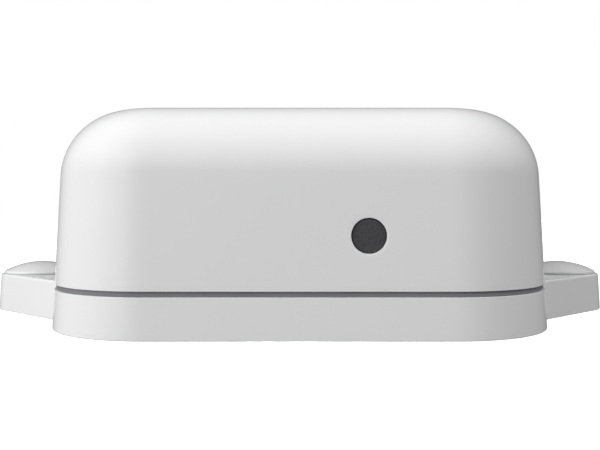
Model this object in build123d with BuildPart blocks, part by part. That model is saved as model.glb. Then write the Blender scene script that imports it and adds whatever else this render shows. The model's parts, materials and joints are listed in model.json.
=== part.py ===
"""Wall-mounted temperature and humidity sensor: a sealed two-part housing with ears, radio and cell inside.

The back lies on Z = 0 and is centred on the origin, +X runs through both mounting ears, and the sensing
port looks along -Y. Lengths are in millimetres and angles in degrees.
"""

import os
from math import radians, sqrt, tan

from build123d import *

# Housing: a square drafted box whose base, seal and cover share one leaning side
body_width = 80.0
corner_radius = 17.7
draft = 3.0
height = 34.9
top_round = 11.2
wall = 2.4
base_height = 6.3
floor_thickness = 2.4

# Seal between the rims, with a bead that sits in the base's groove
seal_thickness = 0.8
seal_setback = 0.25
rim_width = 3.4
groove_width = 1.4
groove_depth = 1.6
seal_clearance = 0.1

# Mounting ears, one screw in each, standing clear of the body's sides
ear_reach = 9.7
ear_tip_radius = 7.4
ear_root_width = 39.6
ear_root_depth = 2.0
ear_rise = 0.4
ear_gap = 0.4
ear_edge_round = 0.35
mounting_hole = 4.5
screw_pocket_diameter = 10.0
screw_pocket_depth = 3.2

# Domed plugs over the mounting screws
cap_diameter = 13.4
cap_edge = 0.65
cap_rim_round = 0.35
dome_rise = 1.5
plug_clearance = 0.1
plug_wall = 0.8

# Cover screws, driven from the back into bosses in the cover's corners
pillar_radius = 4.4
pillar_gap = 0.4
boss_radius = 4.0
rib_thickness = 1.4
screw_diameter = 2.9
screw_clearance = 0.1
screw_bite = 7.0
screw_head_diameter = 5.4
screw_head_height = 2.0
screw_head_sink = 0.6
head_clearance = 0.3
socket_diameter = 2.6
socket_depth = 1.2
washer_thickness = 0.6

# Main board on the base's standoffs
standoff_height = 4.0
standoff_radius = 3.0
standoff_inset = 7.0
board_thickness = 1.6
board_edge = 1.0
board_clearance = 0.8
board_screw_diameter = 2.4
board_screw_length = 6.6
board_hole_clearance = 0.15
board_screw_head_diameter = 4.4
board_screw_head_height = 1.6
part_gap = 0.8

# Sensing port, its filter and the chip behind it
port_x = 10.0
port_rise = 7.0
port_diameter = 5.0
port_depth = 2.7
filter_recess = 0.3
filter_clearance = 0.08
flange_diameter = 8.2
flange_thickness = 1.2
ring_thickness = 0.8
ring_bore = 4.8
collar_wall = 1.9
boot_diameter = 9.6
boot_length = 2.5
boot_waist = 0.5
sensor_board_width = 14.0
sensor_board_thickness = 1.0
sensor_board_edge = 1.0
chip_size = 2.5
chip_height = 0.9
chip_window = 1.0
chip_window_depth = 0.2

# Right-angle header between the two boards
pin_count = 4
pin_pitch = 2.54
pin_size = 0.64
pin_rise = 1.1
pin_tail = 1.4
pin_hole_clearance = 0.2
header_depth = 2.4
header_height = 2.3

# Lithium cell in a moulded holder with two sheet contacts
cell_diameter = 14.5
cell_length = 33.5
cell_bevel = 0.6
nub_diameter = 6.0
nub_length = 1.0
cell_clearance = 0.3
holder_floor = 1.5
holder_wall = 1.4
holder_grip = 1.5
finger_cut_length = 20.0
finger_cut_depth = 5.0
contact_thickness = 0.5
contact_width = 8.0
contact_rise = 4.0
contact_clearance = 0.1
spring_room = 3.0

# Radio and the parts on the main board
radio_length = 14.0
radio_width = 10.0
radio_thickness = 1.0
shield_margin = 1.2
shield_height = 2.2
shield_sheet = 0.3
antenna_length = 26.0
antenna_height = 7.0
antenna_strip = 1.6
antenna_sheet = 0.6
antenna_feed = 6.0
antenna_inset = 2.0
controller_size = 7.0
controller_height = 1.2
controller_chamfer = 0.3
controller_mark = 0.9
mark_depth = 0.15
crystal_length = 3.2
crystal_width = 2.5
crystal_height = 0.9
crystal_round = 0.5
capacitor_diameter = 5.0
capacitor_height = 5.0
capacitor_foot = 5.3
capacitor_foot_height = 0.8
capacitor_bevel = 0.4
capacitor_inset = 4.2

# Heights and places worked out from the sizes above
cover_bottom = base_height + seal_thickness
ear_height = base_height + ear_rise
ear_x = body_width / 2 + ear_reach
board_bottom = floor_thickness + standoff_height
board_top = board_bottom + board_thickness
port_z = board_top + port_rise


def lean(z):
    """Returns how far the drafted sides have moved in at height z."""
    return z * tan(radians(draft))


def body_plan(z, inset=0.0, mode=Mode.ADD):
    """Draws the housing's rounded square plan at height z, moved in from the outer sides by inset."""
    side = body_width - 2 * (lean(z) + inset)
    RectangleRounded(side, side, corner_radius - lean(z) - inset, mode=mode)


def corners(reach):
    """Returns the four places at reach from both centre lines."""
    return GridLocations(2 * reach, 2 * reach, 2, 2)


# The corner screws stand inside the seal, on the diagonals of the plan
corner_centre = body_width / 2 - corner_radius
pillar_reach = corner_radius - lean(cover_bottom) - rim_width - pillar_gap - pillar_radius
screw_reach = corner_centre + pillar_reach / sqrt(2)
standoff_reach = screw_reach - standoff_inset
washer_bottom = screw_head_sink + screw_head_height
head_pocket_depth = washer_bottom + washer_thickness

# The sensing stack runs inwards from the front wall at the port's height
port_face = lean(port_z) - body_width / 2
filter_seat = port_face + port_depth
collar_face = filter_seat + flange_thickness + ring_thickness
sensor_face = collar_face + boot_length
sensor_back = sensor_face + sensor_board_thickness
board_half = board_edge - sensor_face
header_back = sensor_back + header_depth
pin_y = header_back + pin_size / 2
pin_z = board_top + pin_rise

# Board parts keep clear of the board screws' heads and of each other
free_half = standoff_reach - board_screw_head_diameter / 2 - part_gap
holder_width = cell_diameter + 2 * (cell_clearance + holder_wall)
holder_inside = spring_room + cell_length + contact_thickness
holder_length = holder_inside + 2 * holder_wall
holder_y = free_half - holder_width / 2
holder_front = holder_y - holder_width / 2
cell_z = board_top + holder_floor + cell_clearance + cell_diameter / 2
holder_height = cell_z + holder_grip - board_top
spring_x = -holder_inside / 2
plate_x = holder_inside / 2
row_y = (holder_front + header_back) / 2
radio_x = radio_length / 2 - free_half
controller_x = free_half - controller_size / 2
crystal_y = row_y + controller_size / 2 + part_gap + crystal_width / 2
capacitor_x = board_half - capacitor_inset
capacitor_pitch = capacitor_foot + part_gap
capacitor_y = holder_front - part_gap - capacitor_foot - part_gap / 2
antenna_x = antenna_inset - board_half

os.makedirs("parts", exist_ok=True)

# Base: a shallow tray with a grooved rim, two ears, corner pillars and board standoffs
with BuildPart() as base:
    with BuildSketch():
        with Locations((ear_x, 0)):
            Circle(ear_tip_radius)
        with Locations((body_width / 2 - ear_root_depth / 2, 0)):
            Rectangle(ear_root_depth, ear_root_width)
        make_hull()
    extrude(amount=ear_height, taper=draft)
    ear_top = base.faces().sort_by(Axis.Z)[-1]
    fillet(ear_top.edges().sort_by(Axis.X)[1:], radius=ear_edge_round)
    mirror(about=Plane.YZ)
    # The ears stand a little above the rim and step back from the seal and the cover
    with BuildSketch(Plane.XY.offset(base_height)):
        body_plan(base_height, -ear_gap)
    extrude(amount=ear_rise, mode=Mode.SUBTRACT)
    with BuildSketch():
        body_plan(0)
    extrude(amount=base_height, taper=draft)
    with BuildSketch(Plane.XY.offset(floor_thickness)):
        body_plan(base_height, rim_width)
    extrude(amount=base_height - floor_thickness, mode=Mode.SUBTRACT)
    groove_inset = (rim_width - groove_width) / 2
    with BuildSketch(Plane.XY.offset(base_height)):
        body_plan(base_height, groove_inset)
        body_plan(base_height, groove_inset + groove_width, Mode.SUBTRACT)
    extrude(amount=-groove_depth, mode=Mode.SUBTRACT)
    with BuildSketch(Plane.XY.offset(floor_thickness)):
        with corners(screw_reach):
            Circle(pillar_radius)
    extrude(amount=cover_bottom - floor_thickness)
    with BuildSketch(Plane.XY.offset(floor_thickness)):
        with corners(standoff_reach):
            Circle(standoff_radius)
    extrude(amount=standoff_height)
    with BuildSketch(Plane.XY.offset(board_bottom)):
        with corners(standoff_reach):
            Circle(board_screw_diameter / 2 + screw_clearance)
    extrude(amount=board_thickness - board_screw_length, mode=Mode.SUBTRACT)
    # Cover screws enter from the back, mounting screws from the front
    with BuildSketch():
        with corners(screw_reach):
            Circle(screw_diameter / 2 + screw_clearance)
    extrude(amount=cover_bottom, mode=Mode.SUBTRACT)
    with BuildSketch():
        with corners(screw_reach):
            Circle(screw_head_diameter / 2 + head_clearance)
    extrude(amount=head_pocket_depth, mode=Mode.SUBTRACT)
    with Locations((-ear_x, 0, ear_height), (ear_x, 0, ear_height)):
        CounterBoreHole(mounting_hole / 2, screw_pocket_diameter / 2, screw_pocket_depth)

base.part.label = "base"
export_step(base.part, "parts/base.step")

# Seal: a flat band between the rims with a bead in the base's groove
with BuildPart() as seal:
    with BuildSketch(Plane.XY.offset(base_height)):
        body_plan(cover_bottom, seal_setback)
        body_plan(cover_bottom, rim_width, Mode.SUBTRACT)
    extrude(amount=seal_thickness)
    bead_inset = groove_inset + seal_clearance
    bead_width = groove_width - 2 * seal_clearance
    with BuildSketch(Plane.XY.offset(base_height)):
        body_plan(base_height, bead_inset)
        body_plan(base_height, bead_inset + bead_width, Mode.SUBTRACT)
    extrude(amount=seal_clearance - groove_depth)

seal.part.label = "seal"
export_step(seal.part, "parts/seal.step")

# Inside of the cover, less the screw bosses with their ribs and the collar behind the port
with BuildPart() as cavity:
    with BuildSketch(Plane.XY.offset(cover_bottom)):
        body_plan(cover_bottom, wall)
    extrude(amount=height - wall - cover_bottom, taper=draft)
    fillet(cavity.faces().sort_by(Axis.Z)[-1].edges(), radius=top_round - wall)
    with BuildSketch(Plane.XY.offset(cover_bottom)):
        with corners(screw_reach):
            Circle(boss_radius)
        with PolarLocations(screw_reach * sqrt(2) + boss_radius, 4, start_angle=45):
            Rectangle(2 * boss_radius, rib_thickness)
    extrude(amount=height, mode=Mode.SUBTRACT)
    with BuildSketch(Plane.XZ.offset(-collar_face)):
        with Locations((port_x, port_z)):
            Circle(flange_diameter / 2 + filter_clearance + collar_wall)
    extrude(amount=body_width, mode=Mode.SUBTRACT)

# Cover: one thin drafted shell with a large rounded top edge
with BuildPart() as cover:
    with BuildSketch(Plane.XY.offset(cover_bottom)):
        body_plan(cover_bottom)
    extrude(amount=height - cover_bottom, taper=draft)
    fillet(cover.faces().sort_by(Axis.Z)[-1].edges(), radius=top_round)
    add(cavity.part, mode=Mode.SUBTRACT)
    with BuildSketch(Plane.XY.offset(cover_bottom)):
        with corners(screw_reach):
            Circle(screw_diameter / 2 + screw_clearance)
    extrude(amount=screw_bite + screw_diameter / 2, mode=Mode.SUBTRACT)
    with BuildSketch(Plane.XZ.offset(-collar_face)):
        with Locations((port_x, port_z)):
            Circle(flange_diameter / 2 + filter_clearance)
    extrude(amount=flange_thickness + ring_thickness, mode=Mode.SUBTRACT)
    with BuildSketch(Plane.XZ.offset(-filter_seat)):
        with Locations((port_x, port_z)):
            Circle(port_diameter / 2)
    extrude(amount=port_depth + port_diameter, mode=Mode.SUBTRACT)

cover.part.label = "cover"
export_step(cover.part, "parts/cover.step")

# Screw caps: hollow plugs with a domed top that sits on the ear, rounded under its rim
cap_ceiling = ear_height + cap_edge
pocket_floor = ear_height - screw_pocket_depth
plug_radius = screw_pocket_diameter / 2 - plug_clearance
cap_radius = cap_diameter / 2
dome_radius = (cap_radius**2 + dome_rise**2) / (2 * dome_rise)

for cap_name, side in (("screw_cap_left", -1), ("screw_cap_right", 1)):
    with BuildPart() as screw_cap:
        with BuildSketch(Plane((side * ear_x, 0, 0), x_dir=(1, 0, 0), z_dir=(0, -1, 0))):
            with BuildLine():
                RadiusArc((0, cap_ceiling + dome_rise), (cap_radius, cap_ceiling), dome_radius)
                Line((cap_radius, cap_ceiling), (cap_radius, ear_height + cap_rim_round))
                RadiusArc(
                    (cap_radius, ear_height + cap_rim_round),
                    (cap_radius - cap_rim_round, ear_height),
                    cap_rim_round,
                )
                Polyline(
                    (cap_radius - cap_rim_round, ear_height),
                    (plug_radius, ear_height),
                    (plug_radius, pocket_floor),
                    (plug_radius - plug_wall, pocket_floor),
                    (plug_radius - plug_wall, cap_ceiling),
                    (0, cap_ceiling),
                    (0, cap_ceiling + dome_rise),
                )
            make_face()
        revolve(axis=Axis((side * ear_x, 0, 0), (0, 0, 1)))

    screw_cap.part.label = cap_name
    export_step(screw_cap.part, f"parts/{cap_name}.step")

# Cover screws with hexagon sockets, sunk in the back
with BuildPart() as cover_screws:
    with BuildSketch(Plane.XY.offset(screw_head_sink)):
        with corners(screw_reach):
            Circle(screw_head_diameter / 2)
    extrude(amount=screw_head_height)
    with BuildSketch(Plane.XY.offset(washer_bottom)):
        with corners(screw_reach):
            Circle(screw_diameter / 2)
    extrude(amount=cover_bottom + screw_bite - washer_bottom)
    with BuildSketch(Plane.XY.offset(screw_head_sink)):
        with corners(screw_reach):
            RegularPolygon(socket_diameter / 2, 6)
    extrude(amount=socket_depth, mode=Mode.SUBTRACT)

cover_screws.part.label = "cover_screws"
export_step(cover_screws.part, "parts/cover_screws.step")

# Sealing washers under the cover screws' heads
with BuildPart() as screw_seals:
    with BuildSketch(Plane.XY.offset(washer_bottom)):
        with corners(screw_reach):
            Circle(screw_head_diameter / 2)
            Circle(screw_diameter / 2 + screw_clearance, mode=Mode.SUBTRACT)
    extrude(amount=washer_thickness)

screw_seals.part.label = "screw_seals"
export_step(screw_seals.part, "parts/screw_seals.step")

# Main board, notched round the corner pillars
with BuildPart() as circuit_board:
    with BuildSketch(Plane.XY.offset(board_bottom)):
        Rectangle(2 * board_half, 2 * board_half)
        with corners(screw_reach):
            Circle(pillar_radius + board_clearance, mode=Mode.SUBTRACT)
        with corners(board_half):
            Rectangle(2 * pillar_radius, 2 * pillar_radius, mode=Mode.SUBTRACT)
        with corners(standoff_reach):
            Circle(board_screw_diameter / 2 + board_hole_clearance, mode=Mode.SUBTRACT)
        with Locations((port_x, pin_y)):
            with GridLocations(pin_pitch, 0, pin_count, 1):
                Circle(pin_size / sqrt(2) + pin_hole_clearance, mode=Mode.SUBTRACT)
    extrude(amount=board_thickness)

circuit_board.part.label = "circuit_board"
export_step(circuit_board.part, "parts/circuit_board.step")

# Pan-head screws that hold the main board
with BuildPart() as board_screws:
    with BuildSketch(Plane.XY.offset(board_top)):
        with corners(standoff_reach):
            Circle(board_screw_head_diameter / 2)
    extrude(amount=board_screw_head_height)
    chamfer(board_screws.faces().group_by(Axis.Z)[-1].edges(), length=board_screw_head_height / 2)
    with BuildSketch(Plane.XY.offset(board_top)):
        with corners(standoff_reach):
            Circle(board_screw_diameter / 2)
    extrude(amount=-board_screw_length)

board_screws.part.label = "board_screws"
export_step(board_screws.part, "parts/board_screws.step")

# Port filter: a stepped porous plug pushed in from the inside
with BuildPart() as port_filter:
    with BuildSketch(Plane.XZ.offset(-filter_seat)):
        with Locations((port_x, port_z)):
            Circle(port_diameter / 2 - filter_clearance)
    extrude(amount=port_depth - filter_recess)
    with BuildSketch(Plane.XZ.offset(-filter_seat)):
        with Locations((port_x, port_z)):
            Circle(flange_diameter / 2)
    extrude(amount=-flange_thickness)

port_filter.part.label = "port_filter"
export_step(port_filter.part, "parts/port_filter.step")

# Ring that keeps the filter in the cover's collar
with BuildPart() as filter_ring:
    with BuildSketch(Plane.XZ.offset(-collar_face)):
        with Locations((port_x, port_z)):
            Circle(flange_diameter / 2)
            Circle(ring_bore / 2, mode=Mode.SUBTRACT)
    extrude(amount=ring_thickness)

filter_ring.part.label = "filter_ring"
export_step(filter_ring.part, "parts/filter_ring.step")

# Rubber boot from the collar to the sensor board, with a waist so that it gives
with BuildPart() as sensor_boot:
    boot_radius = boot_diameter / 2
    with BuildSketch(Plane((port_x, 0, port_z), x_dir=(1, 0, 0), z_dir=(0, 0, 1))):
        with BuildLine():
            ThreePointArc(
                (boot_radius, collar_face),
                (boot_radius - boot_waist, (collar_face + sensor_face) / 2),
                (boot_radius, sensor_face),
            )
            Polyline(
                (boot_radius, sensor_face),
                (ring_bore / 2, sensor_face),
                (ring_bore / 2, collar_face),
                (boot_radius, collar_face),
            )
        make_face()
    revolve(axis=Axis((port_x, 0, port_z), (0, 1, 0)))

sensor_boot.part.label = "sensor_boot"
export_step(sensor_boot.part, "parts/sensor_boot.step")

# Small upright board behind the port
with BuildPart() as sensor_board:
    sensor_board_height = port_rise + boot_diameter / 2 + sensor_board_edge
    with BuildSketch(Plane.XZ.offset(-sensor_face)):
        with Locations((port_x, board_top)):
            Rectangle(sensor_board_width, sensor_board_height, align=(Align.CENTER, Align.MIN))
        with Locations((port_x, pin_z)):
            with GridLocations(pin_pitch, 0, pin_count, 1):
                Circle(pin_size / sqrt(2) + pin_hole_clearance, mode=Mode.SUBTRACT)
    extrude(amount=-sensor_board_thickness)

sensor_board.part.label = "sensor_board"
export_step(sensor_board.part, "parts/sensor_board.step")

# Humidity and temperature chip with its sensing window
with BuildPart() as sensor_chip:
    with BuildSketch(Plane.XZ.offset(-sensor_face)):
        with Locations((port_x, port_z)):
            Rectangle(chip_size, chip_size)
    extrude(amount=chip_height)
    with BuildSketch(Plane.XZ.offset(chip_height - sensor_face)):
        with Locations((port_x, port_z)):
            Circle(chip_window / 2)
    extrude(amount=-chip_window_depth, mode=Mode.SUBTRACT)

sensor_chip.part.label = "sensor_chip"
export_step(sensor_chip.part, "parts/sensor_chip.step")

# Header strip behind the sensor board, with a square hole for each pin
with BuildPart() as header_body:
    with BuildSketch(Plane.XZ.offset(-sensor_back)):
        with Locations((port_x, board_top)):
            Rectangle(pin_count * pin_pitch, header_height, align=(Align.CENTER, Align.MIN))
        with Locations((port_x, pin_z)):
            with GridLocations(pin_pitch, 0, pin_count, 1):
                pin_hole = pin_size + pin_hole_clearance
                Rectangle(pin_hole, pin_hole, mode=Mode.SUBTRACT)
    extrude(amount=-header_depth)

header_body.part.label = "header_body"
export_step(header_body.part, "parts/header_body.step")

# Bent pins from the sensor board through the header into the main board
with BuildPart() as header_pins:
    with BuildSketch(Plane.XZ.offset(-sensor_face)):
        with Locations((port_x, pin_z)):
            with GridLocations(pin_pitch, 0, pin_count, 1):
                Rectangle(pin_size, pin_size)
    extrude(amount=sensor_face - pin_y - pin_size / 2)
    with BuildSketch(Plane.XY.offset(pin_z)):
        with Locations((port_x, pin_y)):
            with GridLocations(pin_pitch, 0, pin_count, 1):
                Rectangle(pin_size, pin_size)
    extrude(amount=board_bottom - pin_tail - pin_z)

header_pins.part.label = "header_pins"
export_step(header_pins.part, "parts/header_pins.step")

# Cell holder: an open trough with finger cut-outs and slots for the contacts
with BuildPart() as battery_holder:
    with BuildSketch(Plane.XY.offset(board_top)):
        with Locations((0, holder_y)):
            Rectangle(holder_length, holder_width)
    extrude(amount=holder_height)
    with BuildSketch(Plane.XY.offset(board_top + holder_floor)):
        with Locations((0, holder_y)):
            Rectangle(holder_inside, holder_width - 2 * holder_wall)
    extrude(amount=holder_height, mode=Mode.SUBTRACT)
    with BuildSketch(Plane.XZ.offset(-holder_y)):
        with Locations((0, board_top + holder_height)):
            SlotOverall(finger_cut_length, 2 * finger_cut_depth)
    extrude(amount=holder_width, both=True, mode=Mode.SUBTRACT)
    slot_depth = contact_thickness + contact_clearance
    with BuildSketch(Plane.XY.offset(board_top)):
        for slot_x in (spring_x + slot_depth / 2, plate_x - slot_depth / 2):
            with Locations((slot_x, holder_y)):
                Rectangle(slot_depth, contact_width + 2 * contact_clearance)
    extrude(amount=holder_floor, mode=Mode.SUBTRACT)

battery_holder.part.label = "battery_holder"
export_step(battery_holder.part, "parts/battery_holder.step")

# Lithium cell with its nub towards +X
with BuildPart() as battery_cell:
    with BuildSketch(Plane.YZ.offset(spring_x + spring_room)):
        with Locations((holder_y, cell_z)):
            Circle(cell_diameter / 2)
    extrude(amount=cell_length - nub_length)
    chamfer(battery_cell.edges().filter_by(GeomType.CIRCLE), length=cell_bevel)
    with BuildSketch(Plane.YZ.offset(plate_x - contact_thickness)):
        with Locations((holder_y, cell_z)):
            Circle(nub_diameter / 2)
    extrude(amount=-nub_length)

battery_cell.part.label = "battery_cell"
export_step(battery_cell.part, "parts/battery_cell.step")

# Flat contact at the nub, standing on the main board
with BuildPart() as positive_contact:
    with BuildSketch(Plane.YZ.offset(plate_x)):
        with Locations((holder_y, board_top)):
            contact_height = cell_z + contact_rise - board_top
            Rectangle(contact_width, contact_height, align=(Align.CENTER, Align.MIN))
    extrude(amount=-contact_thickness)

positive_contact.part.label = "positive_contact"
export_step(positive_contact.part, "parts/positive_contact.step")

# Folded leaf at the other end, bowed towards the cell
with BuildPart() as negative_contact:
    leaf_tip = spring_x + spring_room - contact_clearance
    leaf_fold = spring_x + contact_thickness
    with BuildSketch(Plane.XZ.offset(-holder_y)):
        with BuildLine():
            Polyline(
                (spring_x, board_top),
                (spring_x, cell_z + contact_rise),
                (leaf_fold, cell_z + contact_rise),
                (leaf_tip, cell_z),
                (leaf_fold + contact_thickness, cell_z - contact_rise),
                (leaf_fold + contact_thickness, cell_z - contact_rise + contact_thickness),
                (leaf_tip - contact_thickness, cell_z),
                (leaf_fold, cell_z + contact_rise - 2 * contact_thickness),
                (leaf_fold, board_top),
                close=True,
            )
        make_face()
    extrude(amount=contact_width / 2, both=True)

negative_contact.part.label = "negative_contact"
export_step(negative_contact.part, "parts/negative_contact.step")

# Radio module and the folded metal can over its chip
with BuildPart() as radio_module:
    with BuildSketch(Plane.XY.offset(board_top)):
        with Locations((radio_x, row_y)):
            Rectangle(radio_length, radio_width)
    extrude(amount=radio_thickness)

radio_module.part.label = "radio_module"
export_step(radio_module.part, "parts/radio_module.step")

with BuildPart() as radio_shield:
    with BuildSketch(Plane.XY.offset(board_top + radio_thickness)):
        with Locations((radio_x, row_y)):
            Rectangle(radio_length - 2 * shield_margin, radio_width - 2 * shield_margin)
    extrude(amount=shield_height)
    offset(amount=-shield_sheet, openings=radio_shield.faces().sort_by(Axis.Z)[0])

radio_shield.part.label = "radio_shield"
export_step(radio_shield.part, "parts/radio_shield.step")

# Stamped antenna: a long strip on a feed leg and a ground leg
with BuildPart() as antenna:
    with BuildSketch(Plane.YZ.offset(antenna_x)):
        with Locations((0, board_top + antenna_height)):
            Rectangle(antenna_length, antenna_strip, align=(Align.CENTER, Align.MAX))
        for leg_y in (antenna_length / 2, antenna_length / 2 - antenna_feed):
            with Locations((leg_y, board_top)):
                Rectangle(antenna_strip, antenna_height, align=(Align.MAX, Align.MIN))
    extrude(amount=antenna_sheet)

antenna.part.label = "antenna"
export_step(antenna.part, "parts/antenna.step")

# Microcontroller with a bevelled top and a corner mark
with BuildPart() as microcontroller:
    with BuildSketch(Plane.XY.offset(board_top)):
        with Locations((controller_x, row_y)):
            Rectangle(controller_size, controller_size)
    extrude(amount=controller_height)
    chamfer(microcontroller.faces().sort_by(Axis.Z)[-1].edges(), length=controller_chamfer)
    mark_place = controller_size / 2 - controller_chamfer - controller_mark
    with BuildSketch(Plane.XY.offset(board_top + controller_height)):
        with Locations((controller_x - mark_place, row_y + mark_place)):
            Circle(controller_mark / 2)
    extrude(amount=-mark_depth, mode=Mode.SUBTRACT)

microcontroller.part.label = "microcontroller"
export_step(microcontroller.part, "parts/microcontroller.step")

# Crystal in a small metal can
with BuildPart() as crystal:
    with BuildSketch(Plane.XY.offset(board_top)):
        with Locations((controller_x, crystal_y)):
            RectangleRounded(crystal_length, crystal_width, crystal_round)
    extrude(amount=crystal_height)

crystal.part.label = "crystal"
export_step(crystal.part, "parts/crystal.step")

# Two electrolytic capacitors, each a can on a square foot
with BuildPart() as capacitors:
    capacitor_places = Location((capacitor_x, capacitor_y))
    with BuildSketch(Plane.XY.offset(board_top)):
        with Locations(capacitor_places):
            with GridLocations(0, capacitor_pitch, 1, 2):
                Rectangle(capacitor_foot, capacitor_foot)
    extrude(amount=capacitor_foot_height)
    with BuildSketch(Plane.XY.offset(board_top + capacitor_foot_height)):
        with Locations(capacitor_places):
            with GridLocations(0, capacitor_pitch, 1, 2):
                Circle(capacitor_diameter / 2)
    extrude(amount=capacitor_height)
    chamfer(capacitors.faces().group_by(Axis.Z)[-1].edges(), length=capacitor_bevel)

capacitors.part.label = "capacitors"
export_step(capacitors.part, "parts/capacitors.step")
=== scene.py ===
"""Looks of a wall-mounted temperature and humidity sensor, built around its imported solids.

The housing's two shells, the seal, the screw caps, the port filter and the cover screws are drawn as clean
meshes in the place of their solids. The pieces sealed inside keep their solids and get a finish each.
Lengths are in metres, +Z points out of the wall and the sensing port looks along -Y.
"""

import json
import logging
from abc import ABC, abstractmethod
from dataclasses import dataclass
from enum import Enum
from itertools import pairwise
from math import acos, atan2, cos, hypot, pi, radians, sin, sqrt, tan
from typing import Any, NamedTuple

import bmesh
import bpy
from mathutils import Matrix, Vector
from mathutils.geometry import tessellate_polygon

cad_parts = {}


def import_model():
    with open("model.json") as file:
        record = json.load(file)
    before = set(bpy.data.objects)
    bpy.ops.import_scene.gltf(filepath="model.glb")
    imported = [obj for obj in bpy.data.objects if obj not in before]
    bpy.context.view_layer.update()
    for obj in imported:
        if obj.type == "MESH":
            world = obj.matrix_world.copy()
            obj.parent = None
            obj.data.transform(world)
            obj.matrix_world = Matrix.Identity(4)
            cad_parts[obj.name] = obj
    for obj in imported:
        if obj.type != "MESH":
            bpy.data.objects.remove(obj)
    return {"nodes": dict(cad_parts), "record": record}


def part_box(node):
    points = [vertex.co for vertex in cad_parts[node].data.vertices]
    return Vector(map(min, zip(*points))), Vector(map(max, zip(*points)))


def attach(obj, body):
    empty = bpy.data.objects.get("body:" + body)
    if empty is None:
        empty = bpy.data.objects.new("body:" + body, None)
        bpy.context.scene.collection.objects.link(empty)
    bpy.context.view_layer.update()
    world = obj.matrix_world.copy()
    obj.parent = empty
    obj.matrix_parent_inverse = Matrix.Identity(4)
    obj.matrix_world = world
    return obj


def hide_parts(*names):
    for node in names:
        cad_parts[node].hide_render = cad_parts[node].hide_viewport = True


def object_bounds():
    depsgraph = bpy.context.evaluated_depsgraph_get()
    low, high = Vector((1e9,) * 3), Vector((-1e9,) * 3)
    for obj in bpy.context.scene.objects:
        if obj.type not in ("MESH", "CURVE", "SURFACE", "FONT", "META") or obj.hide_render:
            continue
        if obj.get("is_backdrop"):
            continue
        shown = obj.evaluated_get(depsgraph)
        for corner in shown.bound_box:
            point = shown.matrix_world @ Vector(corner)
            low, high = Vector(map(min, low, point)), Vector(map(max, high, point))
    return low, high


MM = 0.001
BODY = "root"
# Points this near to each other are one, and an edge that turns by more than this stays crisp
WELD = 0.00005 * MM
CRISP = radians(35)

Point = tuple[float, float]
log = logging.getLogger("sensor")


class Slot(Enum):
    """The record's material slots."""

    WHITE_HOUSING = "white_housing"
    GREY_SEAL = "grey_seal"
    DARK_FILTER = "dark_filter"
    BLACK_RUBBER = "black_rubber"
    BLACK_PLASTIC = "black_plastic"
    GREEN_BOARD = "green_board"
    PLATED_STEEL = "plated_steel"
    BRIGHT_TIN = "bright_tin"
    CAN_ALUMINIUM = "can_aluminium"
    CELL_SLEEVE = "cell_sleeve"


def linear(hex_colour: str) -> tuple[float, float, float, float]:
    """Turns an sRGB hex colour into linear red, green, blue and alpha.

    Args:
        hex_colour: The colour as #RRGGBB.

    Returns:
        The linear colour, with an alpha of 1.
    """
    channels = [int(hex_colour[i : i + 2], 16) / 255 for i in (1, 3, 5)]
    red, green, blue = (c / 12.92 if c <= 0.04045 else ((c + 0.055) / 1.055) ** 2.4 for c in channels)
    return red, green, blue, 1.0


def add_node(
    tree: bpy.types.NodeTree,
    kind: str,
    inputs: dict[str | int, Any] | None = None,
    **settings: Any,
) -> bpy.types.Node:
    """Adds a shader node with its settings, values and links.

    Args:
        tree: The node tree to add to.
        kind: The node's type name.
        inputs: A value or another node's output for each named input.
        **settings: Values for the node's own properties.

    Returns:
        The new node.
    """
    node = tree.nodes.new(kind)
    for name, value in settings.items():
        setattr(node, name, value)
    for name, value in (inputs or {}).items():
        if isinstance(value, bpy.types.NodeSocket):
            tree.links.new(value, node.inputs[name])
        else:
            node.inputs[name].default_value = value
    return node


class Surface(NamedTuple):
    """A material's node tree while it is made, its shader, and the point on the surface in metres."""

    tree: bpy.types.NodeTree
    shader: bpy.types.Node
    place: bpy.types.NodeSocket


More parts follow.
